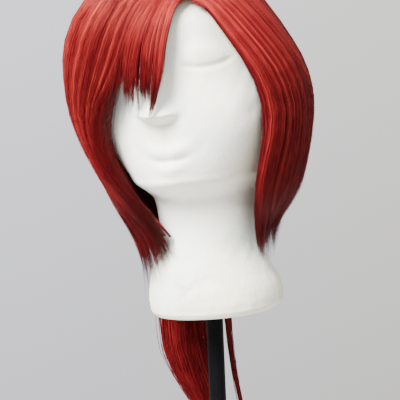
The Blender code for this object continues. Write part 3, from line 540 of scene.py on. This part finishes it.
# Where the locks of one side of the parting fall: position across them from 0 at the parting's
# front, angle at the widest level, then angles at lower levels, the ends of the short outer hair
# and of the long inner hair, and how dense the locks are. Angles in degrees, heights in mm.
LEVELS = np.array([290, 273, 256, 238, 221, 204, 187, 169, 151, 134, 117, 99, 82, 60, 0, -150.0])
RIGHT = {
    # across: angles at LEVELS, end_out, end_in, density
    0.000: ([298, 289, 283.5, 280.5, 278, 274, 271, 268,
            267, 266, 265, 264, 263, 262, 260, 255], 212, 204, 1.0),
    0.045: ([293, 285, 279.5, 276.5, 274, 272, 270, 268,
            267, 266, 265, 264, 263, 262, 260, 255], 203, 193, 1.0),
    0.090: ([287, 280, 274.5, 271, 269, 269, 269, 268,
            267, 266, 265, 264, 263, 262, 260, 255], 212, 203, 1.0),
    0.112: ([285, 277, 271, 267.5, 265, 264.5, 264, 264,
            264, 264, 263, 262, 261, 260, 258, 255], 226, 192, 0.33),
    0.190: ([277, 269, 262, 258, 256, 254, 252.5, 251,
            250, 250, 250, 250, 250, 250, 250, 250], 224, 188, 0.33),
    0.215: ([274, 269, 264, 260, 254, 243, 235, 232,
            231, 232, 238, 248, 255, 260, 260, 260], 186, 70, 0.95),
    0.300: ([263, 256, 250, 245, 239, 233, 229, 227,
            226, 227, 233, 242, 250, 256, 256, 256], 128, 60, 1.0),
    0.450: ([244, 234, 227, 221, 216, 212, 210, 209,
            210, 213, 219, 227, 234, 239, 242, 242], 104, 40, 1.0),
    0.600: ([220, 207, 199, 194, 190, 188, 187, 187,
            189, 193, 198, 203, 208, 210, 212, 212], 104, 46, 1.0),
    0.800: ([172, 160, 155, 152, 150.5, 149.5, 149, 149,
            149, 150, 151, 152, 153, 154, 154, 154], 104, 48, 1.0),
    1.000: ([105, 96, 94, 93, 92, 91.5, 91, 91,
            91, 91, 91, 91, 91, 91, 91, 91], 96, 20, 1.0),
}
LEFT = {
    0.000: ([297, 307, 312, 316, 321, 329, 333, 332,
            328, 322, 318, 321, 334, 344, 352, 352], 84, 52, 1.0),
    0.120: ([306, 316, 321.5, 326, 331, 338, 342, 342,
            338, 333, 330, 333, 342, 350, 354, 354], 88, 56, 1.0),
    0.300: ([322, 333, 340, 345.5, 350, 353.5, 355.5, 356,
            355, 353, 352, 353, 355, 357, 360, 360], 92, 62, 1.0),
    0.500: ([346, 357, 364, 369, 372.5, 375, 376.5, 377,
            377, 376, 375, 374, 374, 374, 374, 374], 100, 68, 1.0),
    0.750: ([396, 405, 409, 411.5, 413, 414, 414.5, 414.5,
            414, 413, 412, 411, 410, 410, 410, 410], 110, 58, 1.0),
    1.000: ([445, 451, 452, 452, 451.5, 451, 451, 451,
            451, 451, 451, 451, 451, 451, 451, 451], 96, 20, 1.0),
}


def side_values(side, across):
    """The angles at LEVELS, the ends of the outer and inner hair, and the density at positions."""
    rows = [(at, *angles, *rest) for at, (angles, *rest) in side.items()]
    values = linear(rows, across)
    return values[:len(LEVELS)], *values[len(LEVELS):]


def hair_ends(end_out, end_in, depth):
    """The heights of the hairs' ends: the deeper a hair lies, the longer it is."""
    return end_out + (end_in - end_out) * np.clip(depth / HAIR_DEPTH, 0, 1) ** 0.6


def strand_paths(rng, side, across, depth, steps, clump_pull, end_shift, root_side,
                 emerge=0.8, below=0.0):
    """Paths of hairs from the parting over the dome and down, in millimetres.

    across places each hair between the parting's front and the back, depth is how far it lies
    under the hair's outside, clump_pull is the (across, share) that its tip is drawn to, and emerge
    is how much of its depth a hair loses by its tip. below sinks the whole dome by that much more.
    """
    count = len(across)
    t = np.linspace(0, 1, steps)[None]
    target, share = clump_pull
    _, end_out, end_in, _ = side_values(side, across)
    ends = hair_ends(end_out, end_in, depth) + end_shift
    # The fall: heights from the rim to the tip, with the drift of the lock's angle.
    fall = np.maximum(HAIR_RIM - ends, 14)
    down = np.clip((t - DOME_SHARE) / (1 - DOME_SHARE), 0, 1)
    height = HAIR_RIM - fall[:, None] * down ** 1.06
    drawn = across[:, None] + (target - across)[:, None] * share[:, None] * t ** 2.2
    angles = side_values(side, drawn.ravel())[0].reshape(len(LEVELS), count, steps)
    slot = np.clip(np.searchsorted(-LEVELS, -height) - 1, 0, len(LEVELS) - 2)
    part = np.clip((LEVELS[slot] - height) / (LEVELS[slot] - LEVELS[slot + 1]), 0, 1)
    upper = np.take_along_axis(angles, slot[None], 0)[0]
    lower = np.take_along_axis(angles, slot[None] + 1, 0)[0]
    angle = upper + (lower - upper) * part
    sunk = depth[:, None] * (1 - emerge * down ** 2)
    radius = hair_radius(angle, height) - sunk
    x = radius * np.cos(np.radians(angle))
    y = radius * np.sin(np.radians(angle))
    # The dome: straight in plan from the parting to the rim, lifted onto the dome.
    first = int(np.ceil(DOME_SHARE * (steps - 1)))
    rim_x, rim_y = x[:, first], y[:, first]
    u = np.clip(across * 1.15, 0, 1)
    root = PART_FRONT + (WHORL - PART_FRONT) * ease(u * 0.5)[:, None] * 2
    root += rng.normal(size=(count, 2)) * 1.6 + np.array([root_side * 2.0, 0.0])
    on_dome = np.clip(t / DOME_SHARE, 0, 1)[:, :first]
    bow = on_dome ** 0.92
    x[:, :first] = root[:, :1] + (rim_x[:, None] - root[:, :1]) * bow
    y[:, :first] = root[:, 1:] + (rim_y[:, None] - root[:, 1:]) * bow
    plan = np.hypot(x[:, :first], y[:, :first])
    ray = np.degrees(np.arctan2(y[:, :first], x[:, :first]))
    rooted = ease(on_dome / 0.3)
    sunk = depth[:, None] * rooted * (0.42 + 0.58 * on_dome ** 2) + 6.5 * (1 - rooted)
    sunk += below * (1 - on_dome ** 3)
    sideways = np.maximum(np.clip(plan / 100, 0, 1) ** 2.5, on_dome ** 3)
    upward = np.sqrt(1 - sideways ** 2)
    height[:, :first] = dome_height(ray, plan + sideways * sunk) - upward * sunk
    paths = np.stack([x, y, height], -1)
    return smoothed(smoothed(smoothed(paths)))


def tubes(name, paths, width, tone_and_shade, mat):
    """Closed tapering tubes along paths, in millimetres. width is each tube's, at its middle."""
    count, steps = paths.shape[:2]
    sides = HAIR_SIDES
    ahead = np.gradient(paths, axis=1)
    ahead /= np.maximum(np.linalg.norm(ahead, axis=2, keepdims=True), 1e-9)
    out = paths.copy()
    out[..., 2] *= 0.3
    out -= ahead * np.sum(out * ahead, 2, keepdims=True)
    out /= np.maximum(np.linalg.norm(out, axis=2, keepdims=True), 1e-9)
    side = np.cross(ahead, out)
    t = np.linspace(0, 1, steps)
    taper = np.interp(t, [0, 0.12, 0.7, 0.93, 1], [0.55, 1.0, 0.9, 0.45, 0.12])
    thick = taper[None, :, None] * width[:, None, None] / 2
    rings = []
    for k in range(sides):
        turn = 2 * pi * k / sides
        rings.append(paths + (side * cos(turn) + out * sin(turn) * 0.7) * thick)
    rings = np.stack(rings, 2)[:, :-1]  # (hair, step, side, 3); the last step is the pointed tip
    body = rings.reshape(-1, 3)
    points = np.concatenate([body, paths[:, -1]])
    per = (steps - 1) * sides
    hair = np.arange(count)[:, None, None] * per
    step = np.arange(steps - 2)[None, :, None] * sides
    k = np.arange(sides)[None, None]
    after = (k + 1) % sides
    quads = np.stack([hair + step + k, hair + step + after, hair + step + sides + after,
                      hair + step + sides + k], -1).reshape(-1, 4)
    tip = count * per + np.arange(count)[:, None]
    last = np.arange(count)[:, None] * per + (steps - 2) * sides
    ring = np.arange(sides)[None]
    tips = np.stack([last + ring, last + (ring + 1) % sides,
                     np.broadcast_to(tip, (count, sides))], -1)
    start = np.arange(count)[:, None] * per
    roots = np.broadcast_to(start, (count, sides)) + np.arange(sides)[::-1][None]
    # painted light and shade: each hair is lighter near its root on top and darker towards its tip,
    # as light falls from above
    tone_and_shade = tone_and_shade[:, None] - 0.28 * t ** 1.2  # darker towards the tip
    vertex_tones_and_shade = np.concatenate([np.repeat(tone_and_shade[:, :-1], sides, 1).ravel(), tone_and_shade[:, -1]])
    faces = [quads, tips.reshape(-1, 3), roots.reshape(-1, sides)]
    return mesh_object(name, points * MM, faces, mat, {"tone_and_shade": np.clip(vertex_tones_and_shade, 0.02, 0.98)})


def head_clear(paths, gap):
    """Paths pushed outward where they would run inside the foam head or its cap."""
    angle = np.degrees(np.arctan2(paths[..., 1], paths[..., 0]))
    height = np.clip(paths[..., 2], 3, SKULL_TOP - 3)
    least = skull_radius(angle, height) + np.maximum(face_relief(angle, height), 0) + gap
    radius = np.maximum(np.hypot(paths[..., 0], paths[..., 1]), 1e-6)
    push = np.where(paths[..., 2] < 0, 1.0, np.maximum(least / radius, 1.0))
    push = np.where(paths[..., 2] > SKULL_WIDEST + 10, 1.0, push)
    paths[..., 0] *= push
    paths[..., 1] *= push
    radius = np.hypot(paths[..., 0], paths[..., 1])
    lowest = skull_dome(angle, radius, gap)
    on_top = (paths[..., 2] > SKULL_WIDEST + 4) & (lowest > SKULL_WIDEST + 4)
    paths[..., 2] = np.where(on_top, np.maximum(paths[..., 2], lowest), paths[..., 2])
    return paths


def cap_rim(angle):
    """The height of the cap's edge: the hairline in front, over the ears, low at the nape."""
    facing = -np.sin(np.radians(angle))
    return 246 + 47 * np.maximum(facing, 0) ** 0.6 - 60 * np.maximum(-facing, 0) ** 0.8


def cap_net():
    """The wig's cap: a thin stretchy net on the skull, open below."""
    around, rows = 160, 36
    angles = np.arange(around) * 360 / around
    rims = cap_rim(angles)
    walls = []
    for gap in (0.7, 1.9):
        rings = []
        for t in np.linspace(0, 1, rows):
            height = rims + (SKULL_TOP - 0.4 - rims) * sin(t * pi / 2)
            radius = skull_radius(angles, height) + face_relief(angles, height) * (t < 0.3) + gap
            lift = gap * ease((height - SKULL_WIDEST) / 80)
            rings.append(polar(angles, radius, height + lift))
        walls.append(rings)
    points, faces = closed_rings(np.array(walls[0][::-1] + walls[1]))
    mat = Shader("net_cap", (0.10, 0.012, 0.012), 0.8, Sheen_Weight=0.2)
    holes = mat.cells(420, "DISTANCE_TO_EDGE")
    mat.link("Base Color", mat.colours(mat.span(holes, 0.02, 0.16),
                                       [(0, (0.16, 0.02, 0.02)), (1, (0.03, 0.006, 0.006))]))
    mat.bump(mat.math("MULTIPLY", holes, -1.0), 0.0006, 0.6)
    made = mesh_object("wig_cap_visual", points * MM, faces, mat.mat)
    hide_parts("wig_cap")


def grow(name, side, count, low, high, mat, seed, root_side, locks, replaces, deepest=HAIR_DEPTH):
    """Hairs in locks between two positions across one side of the parting."""
    rng = np.random.default_rng(seed)
    across = rng.uniform(low, high, count * 2)
    dense = side_values(side, across)[-1]
    across = across[rng.uniform(size=len(across)) < dense][:count]
    count = len(across)
    depth = deepest * rng.beta(1.15, 1.9, count)
    centres = np.sort(rng.uniform(low, high, locks))
    nearest = np.argmin(np.abs(across[:, None] - centres[None]), 1)
    share = np.clip(rng.normal(0.4, 0.2, count), 0.0, 0.95)
    lock_end = rng.normal(0, 7.0, locks)[nearest] + rng.normal(0, 4.0, count)
    lock_end += np.interp(across, centres[::5], rng.normal(0, 7.0, len(centres[::5])))
    astray = rng.uniform(size=count) < STRAY_SHARE
    lock_end[astray] += rng.normal(0, 14, astray.sum())
    layer = (depth / deepest * 2.99).astype(int)
    lock_end += rng.normal(0, 5.0, (locks, 3))[nearest, layer]
    paths = strand_paths(rng, side, across, depth, HAIR_STEPS, (centres[nearest], share), lock_end,
                         root_side)
    t = np.linspace(0, 1, HAIR_STEPS)[None]
    wander = rng.normal(0, 1, (locks, 3))[nearest]
    swing = (np.sin(1.3 * pi * t + wander[:, :1] * 2) * t * wander[:, 1:2]
             + rng.normal(0, 0.5, (count, 1)) * t
             + rng.normal(0, 2.4, (count, 1)) * t ** 3 * astray[:, None])
    lift = wander[:, 2:] * 0.6 * t + rng.normal(0, 1.0, (count, 1)) * t ** 2
    ray = outward(paths)
    calm = ease((320 - paths[..., 2]) / 60)
    paths[..., 0] += (-ray[..., 1] * swing + ray[..., 0] * lift) * calm
    paths[..., 1] += (ray[..., 0] * swing + ray[..., 1] * lift) * calm
    paths = smoothed(head_clear(paths, 5.8 - 0.15 * depth[:, None]))
    paths = head_clear(paths, 5.0 - 0.06 * depth[:, None])
    lock_tone = rng.normal(0.0, 0.05, (locks, 3))[nearest, layer]
    broad_tone = np.interp(across, centres[::2], rng.normal(0.0, 0.12, len(centres[::2])))
    # painted shade: hairs that lie deeper under the outside are made darker; the other terms vary
    # the tone at random
    tone_and_shade = 0.70 - 0.036 * depth + lock_tone + broad_tone + rng.normal(0, 0.06, count)
    thick = rng.uniform(*HAIR_WIDTH, count)
    sheets = int(np.ceil(count / HAIRS_IN_A_PIECE))
    for k in range(sheets):
        made = tubes(f"{name}_{k + 1}", paths[k::sheets], thick[k::sheets], tone_and_shade[k::sheets], mat)
        if k == 0:
            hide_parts(*replaces)


def under_layer(name, side, low, high, sink, lift, mat, seed):
    """A closed grooved layer of hair under the strands, so that no gap shows the head. It is
    coloured darker than the strands, as painted shade deep in the hair.
    """
    rng = np.random.default_rng(seed)
    columns, rows, thick = 120, 34, 4.0
    across = np.linspace(low, high, columns)
    depth = np.full(columns, sink)
    _, end_out, end_in, _ = side_values(side, across)
    steady = (end_out * 0.12 + end_in * 0.88) + lift
    still = (across, np.zeros(columns))
    ragged = rng.normal(0, 6, columns)
    layers = []
    for extra in (0.0, thick):
        ends = hair_ends(end_out, end_in, depth + extra)
        same_roots = np.random.default_rng(seed)
        path = strand_paths(same_roots, side, across, depth + extra, rows, still,
                            steady - ends + ragged, 0, emerge=0.0, below=9.0)
        layers.append(head_clear(path, 2.1 if extra else 3.0))
    outer, inner = layers
    groove = np.convolve(rng.normal(0, 1, columns), [0.25, 0.5, 0.25], "same")
    groove = groove[:, None] * np.linspace(0.1, 1.0, rows)[None]
    outer[..., :2] += outward(outer) * np.minimum(groove, 0)[..., None] * 0.9
    points, faces = slab(outer, inner)
    # painted shade: a low fixed tone keeps the whole under layer dark
    made = mesh_object(name, points * MM, faces, mat, {"tone_and_shade": np.full(len(points), 0.12)})


TAIL_ACROSS = np.array([0.927, 0.375, 0])  # the tail is wider this way
TAIL_ALONG = np.array([-0.375, 0.927, 0])


def tail(name, count, knots, spread, mat, seed, replaces):
    """Long straight hair that hangs behind the neck along knots and narrows to a point."""
    rng = np.random.default_rng(seed)
    steps = 18
    t = np.linspace(0, 1, steps)
    knots = np.array(knots, float)
    line = linear(np.column_stack([np.linspace(0, 1, len(knots)), knots]), t)
    line = np.stack([np.convolve(np.pad(row, 2, "edge"), np.ones(5) / 5, "valid")
                     for row in line], 1)
    line[0], line[-1] = knots[0], knots[-1]
    spread = np.interp(t, *zip(*spread))
    locks = 9
    pick = rng.integers(0, locks, count)
    centre = rng.normal(0, 0.55, (locks, 2))[pick]
    own = rng.normal(0, 0.5, (count, 2))
    pull = np.linspace(0, 0.75, steps)[None, :, None]
    offset = (centre[:, None] + own[:, None] * (1 - pull)) * spread[None, :, None]
    paths = line[None] + offset[..., :1] * TAIL_ACROSS + offset[..., 1:] * 0.45 * TAIL_ALONG
    short = np.abs(rng.normal(0, 0.13, count))
    stop = np.clip(1 - short - 0.2 * (rng.uniform(size=count) < 0.25), 0.5, 1)
    for k in range(count):
        at = t * stop[k]
        paths[k] = np.stack([np.interp(at, t, paths[k, :, axis]) for axis in range(3)], 1)
    wander = rng.normal(0, 1, (locks, 2))[pick]
    paths[..., 0] += np.sin(3 * pi * t[None] + wander[:, :1] * 3) * 1.4 * t[None]
    paths[..., 1] += np.cos(2.5 * pi * t[None] + wander[:, 1:] * 3) * 1.0 * t[None]
    tone_and_shade = 0.46 + rng.normal(0, 0.12, locks)[pick] + rng.normal(0, 0.08, count)
    made = tubes(name, paths, rng.uniform(0.45, 0.8, count), tone_and_shade, mat)
    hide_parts(*replaces)


def wig():
    """All the loose hair, over an under layer on each side of the parting."""
    strand = hair_material("hair_strands", (0.040, 0.0030, 0.0042), (0.125, 0.0050, 0.0075),
                           (0.42, 0.040, 0.032))
    # painted shade: the under layer's colours are darker than the strands', for the shade deep
    # inside the hair
    under = hair_material("hair_underlayer_painted_shade", (0.07, 0.003, 0.004), (0.13, 0.005, 0.007),
                          (0.2, 0.008, 0.010), 0.5)
    grow("hair_fringe", RIGHT, 3000, 0.0, 0.205, strand, 1, -1, locks=26, deepest=8,
         replaces=("fringe_center", "fringe_right"))
    grow("hair_side_right", RIGHT, 6000, 0.205, 0.62, strand, 2, -1, locks=120,
         replaces=("side_hair_right", "crown_hair"))
    grow("hair_back_right", RIGHT, 5400, 0.6, 1.0, strand, 3, -1, locks=90,
         replaces=("back_hair_right",))
    grow("hair_side_left", LEFT, 6000, 0.0, 0.48, strand, 4, 1, locks=120,
         replaces=("side_hair_left", "fringe_left"))
    grow("hair_back_left", LEFT, 5400, 0.46, 1.0, strand, 5, 1, locks=90,
         replaces=("back_hair_left",))
    under_layer("hair_under_right", RIGHT, 0.28, 1.0, 9.0, 22, under, 6)
    under_layer("hair_under_left", LEFT, 0.10, 1.0, 9.0, 34, under, 7)
    tail("hair_tail_inner", 1500,
         [(-42, 58, 110), (-49, 52, 40), (-55, 44, -20), (-50, 44, -66), (-39, 48, -106),
          (-19, 51, -148)],
         [(0, 20), (0.35, 15), (0.55, 17), (0.8, 12), (1, 4)], strand, 8, ("tail_hair_outer",))
    tail("hair_tail_outer", 130,
         [(-2, 66, 110), (-8, 62, 40), (-15, 60, -20), (-15, 62, -70), (-10, 62, -110),
          (-3, 58, -148)],
         [(0, 7), (0.5, 2.2), (1, 2.6)], strand, 9, ("tail_hair_inner",))


# ------------------------------------------------------------------ stand

def enamel():
    """Baked black paint on steel tube: fine orange peel and a few long scratches."""
    made = Shader("black_enamel", (0.004, 0.004, 0.0045), 0.4, Specular_IOR_Level=0.05)
    scuffs = made.span(made.noise(260, 2, (1, 1, 0.05)), 0.66, 0.74)
    worn = made.math("MULTIPLY", scuffs, made.span(made.noise(14, 3), 0.45, 0.65, 0.0, 0.5))
    made.link("Base Color", made.mix(worn, (0.0025, 0.0025, 0.003), (0.02, 0.02, 0.02)))
    made.link("Roughness", made.span(made.noise(40, 4), 0.3, 0.7, 0.28, 0.42))
    made.bump(made.noise(1500, 1), 0.0001, 0.15)
    return made.mat


def moulded(name, colour, dust):
    """Moulded plastic with a fine spark-eroded texture, rubbed a little paler in places."""
    made = Shader(name, colour, 0.5, Specular_IOR_Level=0.4)
    rubbed = made.span(made.noise(45, 5), 0.5, 0.72)
    made.link("Base Color", made.mix(made.math("MULTIPLY", rubbed, 0.6), colour, dust))
    made.link("Roughness", made.span(made.noise(90, 3), 0.3, 0.7, 0.42, 0.6))
    made.bump(made.cells(1300), 0.00025, 0.35)
    return made.mat


def brushed_steel():
    """Turned steel with fine rings."""
    made = Shader("turned_steel", (0.55, 0.55, 0.56), 0.32, Metallic=1.0)
    turned = made.noise(700, 2, (1, 1, 0.1))
    made.link("Base Color", made.colours(made.span(made.noise(60, 4), 0.3, 0.7),
                                         [(0, (0.46, 0.46, 0.47)), (1, (0.60, 0.60, 0.61))]))
    made.link("Roughness", made.span(turned, 0.3, 0.7, 0.24, 0.42))
    made.bump(turned, 0.0001, 0.3)
    return made.mat


def rubber():
    """Dull rubber, dusty in places."""
    made = Shader("foot_rubber", (0.014, 0.014, 0.014), 0.82)
    dusty = made.span(made.noise(70, 5), 0.45, 0.7)
    made.link("Base Color", made.mix(dusty, (0.012, 0.012, 0.012), (0.045, 0.043, 0.04)))
    made.link("Roughness", made.span(made.noise(200, 2), 0.3, 0.7, 0.72, 0.92))
    made.bump(made.noise(800, 3), 0.0003, 0.4)
    return made.mat


def webbing():
    """Woven elastic with a rib along it."""
    made = Shader("elastic_webbing", (0.10, 0.013, 0.015), 0.8, Sheen_Weight=0.3)
    ribs = made.node("ShaderNodeTexWave", {"Vector": made.place, "Scale": 260.0, "Distortion": 0.6},
                     bands_direction="Z").outputs["Fac"]
    made.link("Base Color", made.colours(ribs, [(0, (0.05, 0.008, 0.009)),
                                                (1, (0.14, 0.02, 0.02))]))
    made.bump(ribs, 0.0004, 0.7)
    return made.mat


def finish_stand():
    """The stand and the wig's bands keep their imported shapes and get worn, textured materials."""
    finishes = {
        "black_plastic": moulded("black_plastic", (0.016, 0.016, 0.017), (0.05, 0.05, 0.05)),
        "black_tube": enamel(),
        "steel": brushed_steel(),
        "rubber": rubber(),
        "nylon": moulded("white_nylon", (0.70, 0.69, 0.64), (0.55, 0.54, 0.50)),
        "elastic": webbing(),
    }
    replaced = {"foam", "cap_net", "hair"}
    for part in frame["record"]["subparts"]:
        if part["material_slot"] not in replaced:
            node = nodes[part["node"]]
            for holder in node.material_slots:
                holder.material = finishes[part["material_slot"]]


# ------------------------------------------------------------------ stage, light and camera

FILL_LIGHT, BACKDROP_LIGHT = 0.9, 1.28
CAMERA_DISTANCE = 1.3
CAMERA_ROLL = radians(-2.4)
AIM_ASIDE, AIM_HEIGHT, EYE_LEVEL = -0.012, 0.1025, 0.24  # from the neck's underside
FLOOR_RADIUS, FLOOR_SIDES = 1.5, 96


def stage():
    """A round pale floor under the stand."""
    floor = bpy.data.meshes.new("floor")
    around = np.linspace(0, 2 * pi, FLOOR_SIDES + 1)[:-1]
    ring = np.stack([np.cos(around) * FLOOR_RADIUS, np.sin(around) * FLOOR_RADIUS,
                     np.zeros(FLOOR_SIDES)], 1)
    floor.from_pydata([tuple(p) for p in ring], [], [tuple(range(FLOOR_SIDES))])
    made = bpy.data.objects.new("floor", floor)
    bpy.context.scene.collection.objects.link(made)
    mat = Shader("pale_floor", (0.62, 0.62, 0.62), 0.8)
    mat.link("Roughness", mat.span(mat.noise(8, 3), 0.3, 0.7, 0.75, 0.9))
    floor.materials.append(mat.mat)


def area_light(name, power, size, at, target, colour):
    """A round lamp that faces its target."""
    light = bpy.data.lights.new(name, "AREA")
    light.energy = power
    light.shape = "DISK"
    light.size = size
    light.color = colour
    made = bpy.data.objects.new(name, light)
    bpy.context.scene.collection.objects.link(made)
    made.location = at
    made.rotation_euler = (Vector(target) - Vector(at)).to_track_quat("-Z", "Y").to_euler()


def world():
    """A pale backdrop, cooler to the left, warmer to the right and dimmer low down. It lights the
    object less strongly than the camera sees it.
    """
    made = bpy.data.worlds.new("studio")
    bpy.context.scene.world = made
    made.use_nodes = True
    tree, links = made.node_tree.nodes, made.node_tree.links
    backdrop = tree["Background"]

    def span(value, low=0.0, high=1.0, to_low=0.0, to_high=1.0):
        made = tree.new("ShaderNodeMapRange")
        for socket, number in (("From Min", low), ("From Max", high),
                               ("To Min", to_low), ("To Max", to_high)):
            made.inputs[socket].default_value = number
        links.new(value, made.inputs["Value"])
        return made.outputs[0]

    way = tree.new("ShaderNodeTexCoord").outputs["Generated"]
    across = tree.new("ShaderNodeVectorMath")
    across.operation = "DOT_PRODUCT"
    across.inputs[1].default_value = VIEW_RIGHT
    links.new(way, across.inputs[0])
    tint = tree.new("ShaderNodeValToRGB")
    tint.color_ramp.elements[0].color = (0.98, 0.98, 1.05, 1)
    tint.color_ramp.elements[1].color = (0.88, 0.87, 0.84, 1)
    links.new(span(across.outputs["Value"], -0.14, 0.14), tint.inputs["Fac"])
    links.new(tint.outputs["Color"], backdrop.inputs["Color"])
    seen = tree.new("ShaderNodeLightPath").outputs["Is Camera Ray"]
    rise = tree.new("ShaderNodeSeparateXYZ")
    links.new(way, rise.inputs[0])
    strength = tree.new("ShaderNodeMath")
    strength.operation = "MULTIPLY"
    links.new(span(seen, to_low=FILL_LIGHT, to_high=BACKDROP_LIGHT), strength.inputs[0])
    links.new(span(rise.outputs["Z"], -0.26, 0.04, 0.78, 1.08), strength.inputs[1])
    links.new(strength.outputs[0], backdrop.inputs["Strength"])


def camera():
    """The main view, round to the head's left and a little above the point it aims at."""
    at = SEAT + Vector((CAMERA_DISTANCE * sin(CAMERA_TURN), -CAMERA_DISTANCE * cos(CAMERA_TURN),
                        EYE_LEVEL))
    aim = SEAT + VIEW_RIGHT * AIM_ASIDE + Vector((0, 0, AIM_HEIGHT))
    look = (aim - at).normalized()
    side = look.cross(Vector((0, 0, 1))).normalized()
    up = side.cross(look)
    side, up = (side * cos(CAMERA_ROLL) + up * sin(CAMERA_ROLL),
                up * cos(CAMERA_ROLL) - side * sin(CAMERA_ROLL))
    lens = bpy.data.cameras.new("camera")
    lens.sensor_width = 36
    lens.lens = 126
    lens.clip_start = 0.05
    made = bpy.data.objects.new("camera", lens)
    bpy.context.scene.collection.objects.link(made)
    made.matrix_world = Matrix((
        (side.x, up.x, -look.x, at.x), (side.y, up.y, -look.y, at.y),
        (side.z, up.z, -look.z, at.z), (0, 0, 0, 1)))
    bpy.context.scene.camera = made


foam_head()
cap_net()
wig()
finish_stand()
stage()
world()
camera()
middle = NECK + Vector((0, 0, 0.2))
area_light("key", 200, 0.9, middle + Vector((-0.30, -1.3, 1.05)), middle, (1.0, 0.99, 0.97))
area_light("top", 16, 0.8, middle + Vector((0.4, -0.3, 1.3)), middle, (1.0, 1.0, 1.0))
